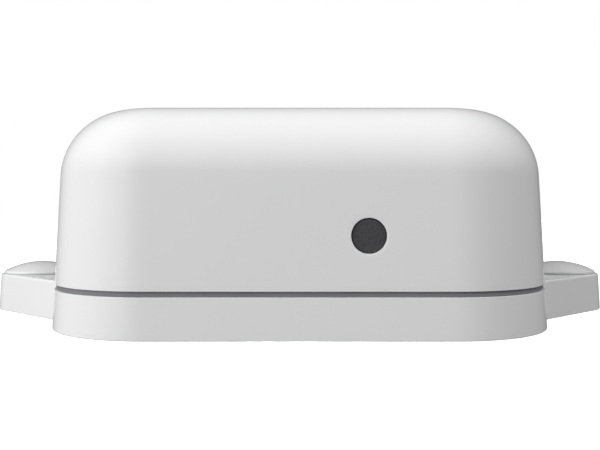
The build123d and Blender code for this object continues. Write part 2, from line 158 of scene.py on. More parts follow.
@dataclass(frozen=True)
class Finish:
    """A material and how its surface was made, with the grain of the tool that formed it."""

    name: str
    colour: str
    roughness: float
    ior: float = 1.5
    metallic: float = 0.0
    # Patches over which pigment and gloss drift: their width, their finer steps, what the pigment drifts to
    # and how far the gloss swings
    patch: float = 0.0
    patch_detail: float = 3.0
    shade: str = "#000000"
    gloss_swing: float = 0.0
    # The surface's relief: how wide its grain is, how high it stands and how much of that shows
    grain: float = 0.2 * MM
    depth: float = 0.01 * MM
    strength: float = 0.5

    def material(self) -> bpy.types.Material:
        """Makes the material once and hands out the same one after that.

        Returns:
            The Blender material.
        """
        made = bpy.data.materials.get(self.name)
        if made is None:
            made = bpy.data.materials.new(self.name)
            made.use_nodes = True
            tree = made.node_tree
            shader = tree.nodes["Principled BSDF"]
            shader.inputs["Base Color"].default_value = linear(self.colour)
            shader.inputs["Roughness"].default_value = self.roughness
            shader.inputs["Metallic"].default_value = self.metallic
            if not self.metallic:
                shader.inputs["IOR"].default_value = self.ior
            surface = Surface(tree, shader, add_node(tree, "ShaderNodeTexCoord").outputs["Object"])
            if self.patch:
                self.mottle(surface)
            relief = {"Height": self.pattern(surface), "Distance": self.depth, "Strength": self.strength}
            bump = add_node(tree, "ShaderNodeBump", relief)
            tree.links.new(bump.outputs["Normal"], shader.inputs["Normal"])
        return made

    def pattern(self, surface: Surface) -> bpy.types.NodeSocket:
        """Adds what the surface shows besides its colour, here the tool's grain, and returns its height."""
        grain = {"Vector": surface.place, "Scale": 1 / self.grain}
        return add_node(surface.tree, "ShaderNodeTexNoise", grain).outputs["Fac"]

    def mottle(self, surface: Surface) -> None:
        """Lets colour and roughness drift over the surface, as pigment and gloss do.

        Args:
            surface: The surface to add to.
        """
        tree, shader, place = surface
        cloud = {"Vector": place, "Scale": 1 / self.patch, "Detail": self.patch_detail}
        drift = add_node(tree, "ShaderNodeTexNoise", cloud).outputs["Fac"]
        ramp = add_node(tree, "ShaderNodeValToRGB", {"Fac": drift})
        ramp.color_ramp.elements[0].color = linear(self.shade)
        ramp.color_ramp.elements[1].color = linear(self.colour)
        gloss = {
            "Value": drift,
            "To Min": self.roughness - self.gloss_swing,
            "To Max": self.roughness + self.gloss_swing,
        }
        spread = add_node(tree, "ShaderNodeMapRange", gloss)
        tree.links.new(ramp.outputs["Color"], shader.inputs["Base Color"])
        tree.links.new(spread.outputs["Result"], shader.inputs["Roughness"])


@dataclass(frozen=True)
class MouldedAsa(Finish):
    """White ASA moulded in a finely eroded tool: even and smooth, with a darker line where it turns away."""

    patch: float = 28 * MM
    shade: str = "#E1E1E2"
    gloss_swing: float = 0.02
    # Real eroded grain is about 0.08 mm wide; it is drawn at 0.3 mm, because finer grain doesn't show
    grain: float = 0.3 * MM
    depth: float = 0.006 * MM


@dataclass(frozen=True)
class MouldedElastomer(Finish):
    """Compression-moulded rubber: matt, a little cloudy from its filler, with the tool's satin grain."""

    patch: float = 4 * MM
    shade: str = "#767678"
    gloss_swing: float = 0.05
    strength: float = 0.6


@dataclass(frozen=True)
class SinteredFilter(Finish):
    """Polyethylene beads sintered into an open disc: dark, dull, with a pore between every few beads, and
    painted shade where the beads meet.
    """

    grain: float = 0.16 * MM
    depth: float = -0.03 * MM
    strength: float = 0.4
    # Painted shade: the darker colour of the pores where the beads meet, and how far from a bead's middle it
    # starts
    pore_shade_colour: str = "#39393B"
    pore_shade_start: float = 0.35

    def pattern(self, surface: Surface) -> bpy.types.NodeSocket:
        """Adds the beads, with painted shade where they meet.

        Args:
            surface: The surface to add to.

        Returns:
            The distance from a bead's middle.
        """
        tree, shader, place = surface
        beads = add_node(tree, "ShaderNodeTexVoronoi", {"Vector": place, "Scale": 1 / self.grain})
        # Painted shade: each bead turns darker towards its edge, in the pore where it meets the next
        ramp = add_node(tree, "ShaderNodeValToRGB", {"Fac": beads.outputs["Distance"]})
        ramp.color_ramp.elements[0].position = self.pore_shade_start
        ramp.color_ramp.elements[0].color = linear(self.colour)
        ramp.color_ramp.elements[1].color = linear(self.pore_shade_colour)
        tree.links.new(ramp.outputs["Color"], shader.inputs["Base Color"])
        return beads.outputs["Distance"]


@dataclass(frozen=True)
class MouldedThermoplastic(Finish):
    """Glass-filled black plastic from a polished tool: satin, with short fibres just under the skin."""

    patch: float = 3 * MM
    shade: str = "#1A1A1B"
    gloss_swing: float = 0.06
    grain: float = 0.25 * MM
    depth: float = 0.008 * MM
    strength: float = 0.4
    tangle: float = 2.0

    def pattern(self, surface: Surface) -> bpy.types.NodeSocket:
        """Adds the tangled fibres, and returns their height."""
        fibres = {"Vector": surface.place, "Scale": 1 / self.grain, "Distortion": self.tangle}
        return add_node(surface.tree, "ShaderNodeTexNoise", fibres).outputs["Fac"]


@dataclass(frozen=True)
class SolderMask(Finish):
    """Green solder mask over etched copper on laminate: satin, with raised tracks paler than the rest."""

    depth: float = -0.035 * MM
    track_pitch: float = 1.27 * MM
    track_gap: float = 0.381 * MM
    track_run: float = 11.43 * MM
    track_colour: str = "#2F8A4E"

    def pattern(self, surface: Surface) -> bpy.types.NodeSocket:
        """Adds the tracks as blocks of parallel lines with bare laminate between them.

        Args:
            surface: The surface to add to.

        Returns:
            The gaps between the tracks.
        """
        tracks = {
            "Vector": surface.place,
            "Color1": linear(self.track_colour),
            "Color2": linear(self.colour),
            "Mortar": linear(self.colour),
            "Scale": 1.0,
            "Mortar Size": self.track_gap,
            "Brick Width": self.track_run,
            "Row Height": self.track_pitch,
        }
        bricks = add_node(surface.tree, "ShaderNodeTexBrick", tracks)
        surface.tree.links.new(bricks.outputs["Color"], surface.shader.inputs["Base Color"])
        return bricks.outputs["Fac"]


@dataclass(frozen=True)
class DrawnMetal(Finish):
    """Drawn wire, sheet or can, plated or bare: a bright skin with fine lines along the way it was drawn."""

    patch: float = 2 * MM
    shade: str = "#B9B8B2"
    gloss_swing: float = 0.05
    grain: float = 0.12 * MM
    depth: float = 0.003 * MM
    stretch: float = 14.0

    def pattern(self, surface: Surface) -> bpy.types.NodeSocket:
        """Adds the fine lines, stretched along the height of the piece.

        Args:
            surface: The surface to add to.

        Returns:
            The lines' height.
        """
        along = {"Vector": surface.place, "Scale": (1.0, 1.0, 1 / self.stretch)}
        drawn = add_node(surface.tree, "ShaderNodeMapping", along).outputs["Vector"]
        lines = {"Vector": drawn, "Scale": 1 / self.grain}
        return add_node(surface.tree, "ShaderNodeTexNoise", lines).outputs["Fac"]


@dataclass(frozen=True)
class ShrinkSleeve(Finish):
    """PVC film shrunk on a cell: glossy, drawn tight, with faint rings where it gathered."""

    patch: float = 6 * MM
    shade: str = "#2B4C78"
    gloss_swing: float = 0.04
    # The wave texture turns by 20 radians per unit of scale, so 22 mm gives rings about 7 mm apart
    grain: float = 22 * MM
    strength: float = 0.3
    waver: float = 3.0
    waver_scale: float = 2.0

    def pattern(self, surface: Surface) -> bpy.types.NodeSocket:
        """Adds the gathered rings round the cell.

        Args:
            surface: The surface to add to.

        Returns:
            The rings' height.
        """
        waver = {"Distortion": self.waver, "Detail Scale": self.waver_scale}
        rings = {"Vector": surface.place, "Scale": 1 / self.grain, **waver}
        return add_node(surface.tree, "ShaderNodeTexWave", rings, bands_direction="X").outputs["Fac"]


FINISHES: dict[Slot, Finish] = {
    Slot.WHITE_HOUSING: MouldedAsa("white_asa_moulded", "#E4E4E4", 0.2),
    # The seal is a mid grey with a faint sheen, and the boot and washers are near black and duller
    Slot.GREY_SEAL: MouldedElastomer("grey_silicone_moulded", "#808082", 0.5, ior=1.43),
    Slot.BLACK_RUBBER: MouldedElastomer("black_nitrile_moulded", "#242425", 0.65, ior=1.52, shade="#1C1C1D"),
    Slot.DARK_FILTER: SinteredFilter("dark_polyethylene_sintered", "#4F4F51", 0.75),
    Slot.BLACK_PLASTIC: MouldedThermoplastic("black_polyamide_moulded", "#222223", 0.45, ior=1.53),
    Slot.GREEN_BOARD: SolderMask("green_solder_mask_cured", "#1D6B38", 0.35, ior=1.55),
    # Nickel is warm and a little clouded, tin whiter and brighter, and bare aluminium the palest
    Slot.PLATED_STEEL: DrawnMetal("nickel_plated_steel", "#C9C7C0", 0.28, metallic=1.0),
    Slot.BRIGHT_TIN: DrawnMetal("tin_plated_sheet", "#D6D6D2", 0.22, metallic=1.0, shade="#C6C6C2"),
    Slot.CAN_ALUMINIUM: DrawnMetal("drawn_aluminium", "#DADBDD", 0.25, metallic=1.0, shade="#CCCDD0"),
    Slot.CELL_SLEEVE: ShrinkSleeve("blue_pvc_shrunk", "#315A8C", 0.25, ior=1.53),
}


class Corner(NamedTuple):
    """A corner of a section, and the round on it."""

    u: float
    v: float
    radius: float = 0.0
    steps: int = 4


def rounded(corners: list[Corner]) -> list[Point]:
    """Turns a section's corners into points, with a tangent arc at each corner that has a radius.

    Args:
        corners: The section from end to end.

    Returns:
        The section's points.
    """
    points = [(corners[0].u, corners[0].v)]
    for before, corner, after in zip(corners, corners[1:], corners[2:]):
        if not corner.radius:
            points.append((corner.u, corner.v))
            continue
        tip = Vector((corner.u, corner.v))
        back = (Vector((before.u, before.v)) - tip).normalized()
        ahead = (Vector((after.u, after.v)) - tip).normalized()
        half = back.angle(ahead) / 2
        centre = tip + (back + ahead).normalized() * (corner.radius / sin(half))
        start = tip + back * (corner.radius / tan(half)) - centre
        sweep = (pi - 2 * half) * (1 if back.x * ahead.y - back.y * ahead.x < 0 else -1)
        for step in range(corner.steps + 1):
            angle = atan2(start.y, start.x) + sweep * step / corner.steps
            points.append((centre.x + corner.radius * cos(angle), centre.y + corner.radius * sin(angle)))
    points.append((corners[-1].u, corners[-1].v))
    return points


def circle(centre: Point, radius: float, z: float, steps: int) -> list[Vector]:
    """Draws a level circle.

    Args:
        centre: Its centre seen from above.
        radius: Its radius.
        z: Its height.
        steps: How many points it has.

    Returns:
        The circle's points.
    """
    angles = [2 * pi * step / steps for step in range(steps)]
    return [Vector((centre[0] + radius * cos(a), centre[1] + radius * sin(a), z)) for a in angles]


def square_corners(reach: float) -> list[Point]:
    """The corners of a level square whose sides lie reach away from its middle."""
    return [(x * reach, y * reach) for x in (-1, 1) for y in (-1, 1)]


class Sketch:
    """A piece's mesh while it is drawn, patch by patch; patches that meet are welded at the end."""

    def __init__(self) -> None:
        """Starts with nothing drawn."""
        self.points: list[Vector] = []
        self.faces: list[tuple[int, ...]] = []

    def row(self, points: list[Vector]) -> list[int]:
        """Adds points.

        Args:
            points: The points to add.

        Returns:
            Their numbers.
        """
        first = len(self.points)
        self.points.extend(points)
        return list(range(first, len(self.points)))

    def skin(self, rings: list[list[Vector]], closed: bool = True, gap: set[int] | None = None) -> None:
        """Stretches faces over rings that have as many points each.

        Args:
            rings: The rings in order.
            closed: Whether each ring's last point joins its first.
            gap: Columns that stay open.
        """
        rows = [self.row(ring) for ring in rings]
        count = len(rows[0])
        columns = [c for c in range(count if closed else count - 1) if c not in (gap or set())]
        for lower, upper in pairwise(rows):
            for column in columns:
                beside = (column + 1) % count
                self.faces.append((lower[column], lower[beside], upper[beside], upper[column]))

    def cap(self, points: list[Vector]) -> None:
        """Closes a ring with one face."""
        self.faces.append(tuple(self.row(points)))

    def solid(self, rings: list[list[Vector]]) -> None:
        """Stretches faces over rings, and closes both ends.

        Args:
            rings: The rings in order.
        """
        self.skin(rings)
        self.cap(rings[0])
        self.cap(rings[-1])

    def plate(self, outline: list[Vector], holes: list[list[Vector]]) -> None:
        """Fills a flat outline and leaves its holes open.

        Args:
            outline: The outer ring.
            holes: The rings inside it that stay open.
        """
        rings = [outline, *holes]
        numbers = [number for ring in rings for number in self.row(ring)]
        for triangle in tessellate_polygon(rings):
            self.faces.append(tuple(numbers[corner] for corner in triangle))

    def build(self, name: str) -> bpy.types.Object:
        """Welds the patches into one object with smooth faces and crisp edges.

        Args:
            name: The piece's name.

        Returns:
            The new piece.
        """
        shape = bmesh.new()
        made = [shape.verts.new(point) for point in self.points]
        for face in self.faces:
            shape.faces.new([made[number] for number in face]).smooth = True
        bmesh.ops.remove_doubles(shape, verts=shape.verts, dist=WELD)
        bmesh.ops.recalc_face_normals(shape, faces=shape.faces)
        for edge in shape.edges:
            edge.smooth = edge.calc_face_angle(0.0) < CRISP
        mesh = bpy.data.meshes.new(name)
        shape.to_mesh(mesh)
        shape.free()
        piece = bpy.data.objects.new(name, mesh)
        bpy.context.scene.collection.objects.link(piece)
        piece.modifiers.new("even_shading", "WEIGHTED_NORMAL").keep_sharp = True
        return piece


class DrawnPart(ABC):
    """A sub-assembly that is drawn as one clean mesh, which takes the place of its solid."""

    @abstractmethod
    def build(self) -> bpy.types.Object:
        """Draws the mesh, dresses it and returns the finished piece."""

    @staticmethod
    def dress(piece: bpy.types.Object, slot: Slot, node: str) -> bpy.types.Object:
        """Gives a new piece its finish and puts it in the place of its solid.

        Args:
            piece: The new piece.
            slot: The record's slot that it takes its finish from.
            node: The solid that it stands for.

        Returns:
            The same piece, dressed.
        """
        piece.data.materials.append(FINISHES[slot].material())
        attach(piece, BODY)
        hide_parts(node)
        return piece


@dataclass(frozen=True)
class Housing:
    """The leaning, rounded square plan and the heights that base, seal and cover share."""

    half_width: float
    cover_bottom: float
    height: float
    screw_reach: float
    corner_radius: float = 17.7 * MM
    draft: float = radians(3.0)
    wall: float = 2.4 * MM
    rim_width: float = 3.4 * MM
    seal_thickness: float = 0.8 * MM
    screw_bore: float = 1.55 * MM
    corner_steps: int = 24
    hole_steps: int = 48

    @property
    def rim(self) -> float:
        """The height of the base's rim."""
        return self.cover_bottom - self.seal_thickness

    @property
    def straight(self) -> float:
        """Where a side's straight part ends, from the middle of the side."""
        return self.half_width - self.corner_radius

    @property
    def screw_places(self) -> list[Point]:
        """The four corner screws seen from above."""
        return square_corners(self.screw_reach)

    def lean(self, z: float) -> float:
        """How far the sides have moved in at height z."""
        return z * tan(self.draft)

    def ring(self, inset: float, z: float, sides: list[list[Point]]) -> list[Vector]:
        """Draws the plan as a level ring.

        Args:
            inset: How far it lies inside the outline at the back.
            z: Its height.
            sides: Points on the sides +X, +Y, -X and -Y, each as outwards from the side and along it.

        Returns:
            The ring's points, turning left from the +X side.
        """
        points = []
        radius = self.corner_radius - inset
        for turn, side in enumerate(sides):
            local = [(self.half_width - inset + out, along) for out, along in side]
            for step in range(self.corner_steps + 1):
                angle = pi / 2 * step / self.corner_steps
                local.append((self.straight + radius * cos(angle), self.straight + radius * sin(angle)))
            points += [self.turned(place, turn, z) for place in local]
        return points

    @staticmethod
    def turned(place: Point, turn: int, z: float) -> Vector:
        """Turns a place on the +X side by quarter turns, at height z."""
        u, v = place
        return Vector(((u, v), (-v, u), (-u, -v), (v, -u))[turn] + (z,))


@dataclass(frozen=True)
class CoverShell(DrawnPart):
    """The cover: a thin drafted shell with a large rounded top edge, a collared port and screw bosses."""

    housing: Housing
    port_x: float
    port_z: float
    filter_seat: float
    collar_face: float
    top_round: float = 11.2 * MM
    top_steps: int = 28
    edge_round: float = 0.08 * MM
    flat_inset: float = 14.0 * MM
    port_radius: float = 2.59 * MM
    port_edge: float = 0.05 * MM
    pocket_radius: float = 4.18 * MM
    collar_radius: float = 6.08 * MM
    # The square of the front round the port, and its rings as shares of the way from port to square
    patch_half: float = 7.0 * MM
    patch_steps: int = 16
    patch_shares: tuple[float, ...] = (1.0, 0.6, 0.3, 0.12)
    boss_radius: float = 4.0 * MM
    bore_depth: float = 8.45 * MM
    rib_thickness: float = 1.4 * MM

    def build(self) -> bpy.types.Object:
        """Draws the shell, the port and the bosses, and dresses them.

        Returns:
            The finished cover.
        """
        sketch = Sketch()
        self.shell(sketch)
        self.port(sketch)
        for place in self.housing.screw_places:
            self.boss(sketch, place)
            self.rib(sketch, place)
        return self.dress(sketch.build("cover_shell"), Slot.WHITE_HOUSING, "cover")

    def shell(self, sketch: Sketch) -> None:
        """Draws the outside and the inside, with a square left open on the front for the port.

        Args:
            sketch: The mesh to draw in.
        """
        home = self.housing
        spread = [tan(pi / 4 * (2 * step / self.patch_steps - 1)) for step in range(self.patch_steps + 1)]
        front = [(0.0, self.port_x + self.patch_half * share) for share in spread]
        sides: list[list[Point]] = [[], [], [], front]
        heights = [self.port_z + self.patch_half * share for share in spread]
        # The front's points come after those of three corners
        first = 3 * (home.corner_steps + 1)
        opening = set(range(first, first + self.patch_steps))
        low, high = heights[0], heights[-1]
        rim_inset = home.lean(home.cover_bottom)
        rim = [
            Corner(home.lean(low) + home.wall, low),
            Corner(rim_inset + home.wall, home.cover_bottom),
            Corner(rim_inset, home.cover_bottom, self.edge_round),
            Corner(home.lean(low), low),
        ]
        sketch.skin([home.ring(inset, z, sides) for inset, z in rounded(rim)])
        for depth in (0.0, home.wall):
            sketch.skin([home.ring(home.lean(z) + depth, z, sides) for z in heights], gap=opening)
            ceiling = home.height - depth
            crown = [
                Corner(home.lean(high) + depth, high),
                Corner(home.lean(ceiling) + depth, ceiling, self.top_round - depth, self.top_steps),
                Corner(self.flat_inset, ceiling),
            ]
            rings = [home.ring(inset, z, sides) for inset, z in rounded(crown)]
            sketch.skin(rings)
            sketch.cap(rings[-1])

    def port(self, sketch: Sketch) -> None:
        """Draws the port's edge, its bore, the filter's pocket and the collar inside.

        Args:
            sketch: The mesh to draw in.
        """
        home = self.housing
        turns = [pi / 4 * (2 * step / self.patch_steps - 1) for step in range(4 * self.patch_steps)]
        square = [self.patch_half / max(abs(cos(a)), abs(sin(a))) for a in turns]

        def on_wall(radii: list[float], depth: float) -> list[Vector]:
            """A ring on the leaning front, depth inside it."""
            ring = [(self.port_x + r * cos(a), self.port_z + r * sin(a)) for r, a in zip(radii, turns)]
            return [Vector((x, home.lean(z) + depth - home.half_width, z)) for x, z in ring]

        def upright(radius: float, y: float) -> list[Vector]:
            """A ring across the port's axis."""
            return [Vector((self.port_x + radius * cos(a), y, self.port_z + radius * sin(a))) for a in turns]

        lip = self.port_radius + self.port_edge
        rings = [on_wall([lip + (r - lip) * share for r in square], 0.0) for share in self.patch_shares]
        edge = [
            Corner(lip + self.port_edge, 0.0),
            Corner(self.port_radius, 0.0, self.port_edge),
            Corner(self.port_radius, 2 * self.port_edge),
        ]
        rings += [on_wall([r] * len(turns), depth) for r, depth in rounded(edge)[1:-1]]
        bore = [
            (self.port_radius, self.filter_seat),
            (self.pocket_radius, self.filter_seat),
            (self.pocket_radius, self.collar_face),
            (self.collar_radius, self.collar_face),
        ]
        rings += [upright(radius, y) for radius, y in bore]
        rings.append(on_wall([self.collar_radius] * len(turns), home.wall))
        rings.append(on_wall(square, home.wall))
        sketch.skin(rings)

    def boss(self, sketch: Sketch, place: Point) -> None:
        """Draws a screw boss that runs up into the shell.

        Args:
            sketch: The mesh to draw in.
            place: The screw's place seen from above.
        """
        home = self.housing
        steps = home.hole_steps
        bottom = home.cover_bottom
        bore = circle(place, home.screw_bore, bottom, steps)
        blind = circle(place, home.screw_bore, bottom + self.bore_depth, steps)
        foot = circle(place, self.boss_radius, bottom, steps)
        head = [Vector((p.x, p.y, self.mid_wall(p.x, p.y))) for p in foot]
        sketch.solid([blind, bore, foot, head])

    def rib(self, sketch: Sketch, place: Point) -> None:
        """Draws the rib that ties a boss to its corner, with its top inside the wall all the way.

        Args:
            sketch: The mesh to draw in.
            place: The screw's place seen from above.
        """
        home = self.housing
        outwards = Vector((place[0], place[1], 0.0)).normalized()
        across = Vector((-outwards.y, outwards.x, 0.0)) * (self.rib_thickness / 2)
        reach = home.corner_radius - home.lean(home.height) - home.wall / 2
        start = Vector((place[0], place[1], home.cover_bottom))
        end = outwards * (home.straight * sqrt(2) + reach)
        end.z = home.cover_bottom
        sections = []
        for share in (0.0, 0.5, 1.0):
            spine = start.lerp(end, share)
            top = Vector((spine.x, spine.y, self.mid_wall(spine.x, spine.y)))
            sections.append([spine - across, spine + across, top + across, top - across])
        sketch.solid(sections)

    def mid_wall(self, x: float, y: float) -> float:
        """The height of the middle of the wall over a place in a corner.

        Args:
            x: The place along X.
            y: The place along Y.

        Returns:
            The height there.
        """
        home = self.housing
        radius = self.top_round - home.wall / 2
        centre = home.lean(home.height - self.top_round) + self.top_round
        inset = home.corner_radius - hypot(max(abs(x) - home.straight, 0), max(abs(y) - home.straight, 0))
        drop = min(max(centre - inset, 0.0), radius)
        return home.height - self.top_round + sqrt(radius**2 - drop**2)


@dataclass(frozen=True)
class BaseTray(DrawnPart):
    """The base: a shallow tray with a grooved rim, two ears, corner pillars and board standoffs."""

    housing: Housing
    ear_x: float
    ear_tip: float
    board_screws_end: float
    standoff_top: float
    ear_rise: float = 0.4 * MM
    ear_round: float = 0.35 * MM
    ear_gap: float = 0.4 * MM
    ear_root: float = 19.8 * MM
    # How much fuller an ear's tip is drawn than the solid's
    tip_swell: float = 0.25 * MM
    tip_steps: int = 32
    ledge_steps: int = 12
    foot_round: float = 0.2 * MM
    rim_round: float = 0.06 * MM
    floor: float = 2.4 * MM
    groove_width: float = 1.4 * MM
    groove_depth: float = 1.6 * MM
    pocket_radius: float = 5.0 * MM
    pocket_depth: float = 3.2 * MM
    mounting_radius: float = 2.25 * MM
    pillar_radius: float = 4.4 * MM
    head_pocket: float = 3.0 * MM
    head_depth: float = 3.2 * MM
    mouth_round: float = 0.2 * MM
    standoff_radius: float = 3.0 * MM
    standoff_bore: float = 1.3 * MM
    standoff_bottom: float = 1.4 * MM
    board_head_radius: float = 2.2 * MM

    @property
    def tip_radius(self) -> float:
        """The radius of an ear's rounded tip at the back."""
        return self.ear_tip - self.ear_x + self.tip_swell

    @property
    def ear_top(self) -> float:
        """The height of an ear's top."""
        return self.housing.rim + self.ear_rise

    @property
    def step_x(self) -> float:
        """Where an ear's top steps down in front of the seal."""
        return self.housing.half_width - self.housing.lean(self.housing.rim) + self.ear_gap

    @property
    def splay(self) -> float:
        """The angle from +X to the direction that an ear's straight side faces."""
        away = Vector((self.housing.half_width - self.ear_x, self.ear_root))
        return atan2(away.y, away.x) - acos(self.tip_radius / away.length)

    def side_y(self, inset: float, x: float) -> float:
        """How far an ear's straight side stands from its centre line at x."""
        return ((self.ear_x - x) * cos(self.splay) + self.tip_radius - inset) / sin(self.splay)

    def ear_path(self, inset: float) -> list[Point]:
        """Draws an ear's outline, from its step round the tip and back to its step.

        Args:
            inset: How far the outline lies inside the one at the back.

        Returns:
            The outline's places on the +X side.
        """
        radius = self.tip_radius - inset
        turns = [self.splay * (2 * step / self.tip_steps - 1) for step in range(self.tip_steps + 1)]
        tip = [(self.ear_x + radius * cos(a), radius * sin(a)) for a in turns]
        edge = self.side_y(inset, self.step_x)
        return [(self.step_x, -edge), *tip, (self.step_x, edge)]

    def ledge(self, reach: float) -> list[float]:
        """Even steps along the line where an ear meets the body, from -reach to reach."""
        return [reach * (2 * step / self.ledge_steps - 1) for step in range(self.ledge_steps + 1)]

    def rim_edge(self) -> list[Point]:
        """Draws the rounded edge between the side and the rim.

        Returns:
            The edge from the side up, as inset and height.
        """
        home = self.housing
        low = home.rim - self.rim_round
        inset = home.lean(home.rim)
        edge = [
            Corner(home.lean(low), low),
            Corner(inset, home.rim, self.rim_round),
            Corner(inset + 2 * self.rim_round, home.rim),
        ]
        return rounded(edge)[:-1]

    def root(self, inset: float) -> float:
        """How far from its centre line an ear meets the body's side."""
        return self.side_y(inset, self.housing.half_width - inset)

    def build(self) -> bpy.types.Object:
        """Draws the tray with all that is moulded on it, and dresses it.

        Returns:
            The finished base.
        """
        sketch = Sketch()
        holes = [self.ear(sketch, turn) for turn in (0, 2)]
        holes += [self.pillar(sketch, place) for place in self.housing.screw_places]
        sketch.plate(self.wall(sketch), holes)
        self.rim(sketch)
        return self.dress(sketch.build("base_tray"), Slot.WHITE_HOUSING, "base")

    def wall(self, sketch: Sketch) -> list[Vector]:
        """Draws the side round body and ears, from the underside up to the rim's rounded edge.

        Args:
            sketch: The mesh to draw in.

        Returns:
            The outline of the underside.
        """
        home = self.housing
        foot = Corner(0.0, 0.0, self.foot_round)
        side = [Corner(2 * self.foot_round, 0.0), foot, Corner(*self.rim_edge()[0])]
        rings = []
        for inset, z in rounded(side)[1:]:
            wall_x = home.half_width - inset
            root = self.root(inset)
            ear = [(0.0, -root), *((x - wall_x, y) for x, y in self.ear_path(inset)), (0.0, root)]
            rings.append(home.ring(inset, z, [ear, [], ear, []]))
        sketch.skin(rings)
        return rings[0]

    def rim(self, sketch: Sketch) -> None:
        """Draws the rim's edge, the seal's groove, the inside of the tray and what stands on its floor.

        Args:
            sketch: The mesh to draw in.
        """
        home = self.housing
        edge = self.rim_edge()
        inset = home.lean(home.rim)
        sides: list[list[Point]] = [[(0.0, along) for along in self.ledge(self.root(edge[0][0]))], []] * 2
        half_turn = 2 * (home.corner_steps + 1) + self.ledge_steps + 1
        at_ears = {first + step for first in (0, half_turn) for step in range(self.ledge_steps)}
        sketch.skin([home.ring(depth, z, sides) for depth, z in edge], gap=at_ears)
        groove = inset + (home.rim_width - self.groove_width) / 2
        bottom = home.rim - self.groove_depth
        inside = [
            edge[-1],
            (groove, home.rim),
            (groove, bottom),
            (groove + self.groove_width, bottom),
            (groove + self.groove_width, home.rim),
            (inset + home.rim_width, home.rim),
            (inset + home.rim_width, self.floor),
        ]
        rings = [home.ring(depth, z, sides) for depth, z in inside]
        sketch.skin(rings)
        places = square_corners(self.board_screws_end - self.board_head_radius)
        steps = home.hole_steps
        feet = [circle(place, self.pillar_radius, self.floor, steps) for place in home.screw_places]
        feet += [self.standoff(sketch, place) for place in places]
        sketch.plate(rings[-1], feet)

    def standoff(self, sketch: Sketch, place: Point) -> list[Vector]:
        """Draws a standoff with its blind bore.

        Args:
            sketch: The mesh to draw in.
            place: Its place seen from above.

        Returns:
            Its foot on the tray's floor.
        """
        section = [
            (self.standoff_radius, self.floor),
            (self.standoff_radius, self.standoff_top),
            (self.standoff_bore, self.standoff_top),
            (self.standoff_bore, self.standoff_bottom),
        ]
        rings = [circle(place, radius, z, self.housing.hole_steps) for radius, z in section]
        sketch.skin(rings)
        sketch.cap(rings[-1])
        return rings[0]

    def pillar(self, sketch: Sketch, place: Point) -> list[Vector]:
        """Draws a corner pillar with its screw hole and the pocket for the screw's head.

        Args:
            sketch: The mesh to draw in.
            place: The screw's place seen from above.

        Returns:
            The pocket's mouth in the underside.
        """
        home = self.housing
        mouth = [
            Corner(self.head_pocket + 2 * self.mouth_round, 0.0),
            Corner(self.head_pocket, 0.0, self.mouth_round),
            Corner(self.head_pocket, self.head_depth),
        ]
        section = [
            *rounded(mouth)[1:],
            (home.screw_bore, self.head_depth),
            (home.screw_bore, home.cover_bottom),
            (self.pillar_radius, home.cover_bottom),
            (self.pillar_radius, self.floor),
        ]
        rings = [circle(place, radius, z, home.hole_steps) for radius, z in section]
        sketch.skin(rings)
        return rings[0]

    def ear(self, sketch: Sketch, turn: int) -> list[Vector]:
        """Draws an ear's sides and rounded edge, the step in front of the seal and the screw's pocket.

        Args:
            sketch: The mesh to draw in.
            turn: Quarter turns from the +X side.

        Returns:
            The mounting hole's mouth in the underside.
        """
        home = self.housing
        inset = home.lean(home.rim)
        edge = [
            Corner(inset, home.rim),
            Corner(inset, self.ear_top, self.ear_round),
            Corner(inset + 2 * self.ear_round, self.ear_top),
        ]
        levels = [self.rim_edge()[0], *rounded(edge)[:-1]]
        paths = [self.ear_path(depth) for depth, _ in levels]
        rows = [[home.turned(p, turn, z) for p in path] for path, (_, z) in zip(paths, levels)]
        sketch.skin(rows, closed=False)
        brink = [(self.step_x, y) for y in reversed(self.ledge(paths[-1][-1][1])[1:-1])]
        self.ear_step(sketch, turn, rows, brink)
        return self.ear_pocket(sketch, turn, [*paths[-1], *brink])

    def ear_step(self, sketch: Sketch, turn: int, rows: list[list[Vector]], brink: list[Point]) -> None:
        """Draws the ledge level with the rim, and the low step from it up to an ear's top.

        Args:
            sketch: The mesh to draw in.
            turn: Quarter turns from the +X side.
            rows: The ear's side and rounded edge, from below up.
            brink: Where the ear's top ends above the step.
        """
        home = self.housing
        rim_edge = self.rim_edge()
        root = self.root(rim_edge[0][0])
        reach = self.side_y(home.lean(home.rim), self.step_x)
        foot = [home.turned((self.step_x, y), turn, home.rim) for y in self.ledge(reach)]
        inner_x = home.half_width - rim_edge[-1][0]
        inner = [home.turned((inner_x, y), turn, home.rim) for y in self.ledge(root)]
        sketch.skin([inner, foot], closed=False)
        lip = [home.turned(p, turn, self.ear_top) for p in brink]
        rising = [row[-1] for row in rows[2:]]
        falling = [row[0] for row in reversed(rows[2:])]
        sketch.cap([*foot, *rising, *lip, *falling])
        for end, sign in ((0, -1), (-1, 1)):
            column = [home.turned((home.half_width - depth, sign * root), turn, z) for depth, z in rim_edge]
            sketch.cap([*column, rows[1][end], rows[0][end]])

